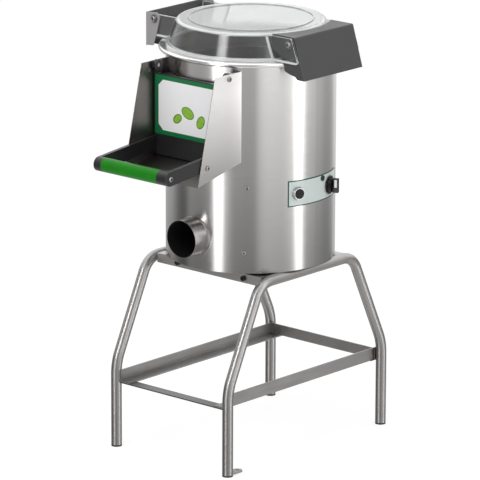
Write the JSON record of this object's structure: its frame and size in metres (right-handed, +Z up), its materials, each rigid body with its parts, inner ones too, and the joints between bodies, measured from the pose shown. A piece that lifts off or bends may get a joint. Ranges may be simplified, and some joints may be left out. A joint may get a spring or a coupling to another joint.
{
  "type": "electric potato peeler",
  "caption": "Floor-standing drum peeler with a hinged clear lid and latch, a discharge door with a bar handle, a timer knob, a start button and an abrasive disc on a belt-driven spindle.",
  "frame": {"origin": "on the floor, under the axis of the drum and the spindle, which is also the middle of the four feet", "axes": "+Z up along the drum's axis, -Y the front where the discharge door faces, +X to the side of the controls and the lid latch"},
  "size_m": [0.4955, 0.7097, 1.021],
  "materials": {
    "drum_steel": "brushed stainless sheet",
    "rim_steel": "polished stainless",
    "tube_steel": "satin stainless tube",
    "fastener_steel": "plain steel",
    "cover_grey": "smooth semi-gloss grey",
    "bracket_grey": "smooth satin grey",
    "black_plastic": "moulded black plastic",
    "knob_black": "moulded black plastic",
    "button_dark": "gloss",
    "door_black": "charcoal satin",
    "label_face": "gloss label, pale field with a green border",
    "control_face": "pale printed plate",
    "handle_green": "gloss green sleeve",
    "black_rubber": "matt",
    "lid_plastic": "clear moulded plastic",
    "bezel_chrome": "polished",
    "lamp_lens": "gloss dark green lens",
    "electric_ivory": "moulded",
    "cast_aluminium": "cast, machined faces",
    "abrasive_grit": "bonded coarse grit",
    "turned_steel": "turned",
    "motor_paint": "painted motor",
    "magnet_grey": "plain",
    "inlet_brass": "machined"
  },
  "bodies": {
    "machine": {"stand_left_frame": "tube_steel", "stand_right_frame": "tube_steel", "stand_top_plate": "drum_steel", "ledge_angles": "tube_steel", "front_tie_strip": "tube_steel", "rear_stop_strip": "tube_steel", "tube_plugs": "black_plastic", "floor_tab": "tube_steel", "drum_buffers": "black_rubber", "buffer_bolts": "fastener_steel", "drum_floor": "drum_steel", "drum_shell": "drum_steel", "rim_ring": "rim_steel", "lid_seal": "black_rubber", "wall_lining": "abrasive_grit", "pan_floor": "drum_steel", "drain_elbow": "drum_steel", "chute": "drum_steel", "chute_screws": "fastener_steel", "casing_screws": "fastener_steel", "hinge_bracket": "bracket_grey", "hinge_blocks": "black_plastic", "hinge_bolts": "fastener_steel", "control_plate": "control_face", "button_switch": "bezel_chrome", "timer_body": "electric_ivory", "pilot_lamp": "lamp_lens", "lid_switch": "black_plastic", "door_switch": "black_plastic", "cable_gland": "black_plastic", "water_inlet": "inlet_brass", "drive_plate": "drum_steel", "electrics_tray": "drum_steel", "contactor": "electric_ivory", "terminal_block": "electric_ivory", "motor_capacitor": "cast_aluminium", "bearing_housing": "cast_aluminium", "spindle_bearings": "turned_steel", "lip_seal": "black_rubber", "motor_case": "motor_paint", "drive_belt": "black_rubber"},
    "levelling_foot": {"levelling_screw": "fastener_steel"},
    "start_button": {"start_button": "button_dark"},
    "timer_knob": {"timer_knob": "knob_black"},
    "spindle": {"spindle_shaft": "turned_steel", "driven_pulley": "cast_aluminium", "abrasive_disc": "cast_aluminium", "disc_coat": "abrasive_grit", "disc_knob": "turned_steel"},
    "motor_rotor": {"motor_rotor": "turned_steel", "motor_pulley": "cast_aluminium"},
    "lid": {"lid_dome": "lid_plastic", "latch_bolts": "fastener_steel"},
    "latch": {"latch_cover": "cover_grey", "latch_magnet": "magnet_grey"},
    "door": {"door_panel": "door_black", "door_label": "label_face", "door_gasket": "black_rubber", "handle_sleeve": "handle_green", "handle_screws": "fastener_steel"}
  },
  "joints": [
    {"name": "lid_hinge", "type": "hinge", "parent": "machine", "child": "lid", "pos_m": [-0.216, 0, 1], "axis": [0, -1, 0], "range_deg": [0, 95]},
    {"name": "latch_hinge", "type": "hinge", "parent": "lid", "child": "latch", "pos_m": [0.2115, 0, 1.0035], "axis": [0, -1, 0], "range_deg": [0, 27]},
    {"name": "door_hinge", "type": "hinge", "parent": "machine", "child": "door", "pos_m": [0, -0.207, 0.924], "axis": [-1, 0, 0], "range_deg": [0, 75]},
    {"name": "timer_turn", "type": "hinge", "parent": "machine", "child": "timer_knob", "pos_m": [0.19126, 0.05847, 0.638], "axis": [-0.9563, -0.2924, 0], "range_deg": [0, 300]},
    {"name": "start_press", "type": "slide", "parent": "machine", "child": "start_button", "axis": [-0.9632, 0.2689, 0], "range_m": [0, 0.003], "stiffness_N_per_m": 500, "springref_m": -0.001},
    {"name": "spindle_spin", "type": "hinge", "parent": "machine", "child": "spindle", "pos_m": [0, 0, 0.6], "axis": [0, 0, 1], "continuous": true},
    {"name": "rotor_spin", "type": "hinge", "parent": "machine", "child": "motor_rotor", "pos_m": [-0.04, 0.11, 0.57], "axis": [0, 0, 1], "continuous": true},
    {"name": "foot_levelling", "type": "slide", "parent": "machine", "child": "levelling_foot", "axis": [0, 0, -1], "range_m": [0, 0.01]}
  ],
  "couplings": [
    {"joint": "rotor_spin", "follows": "spindle_spin", "ratio": 4.4444}
  ]
}
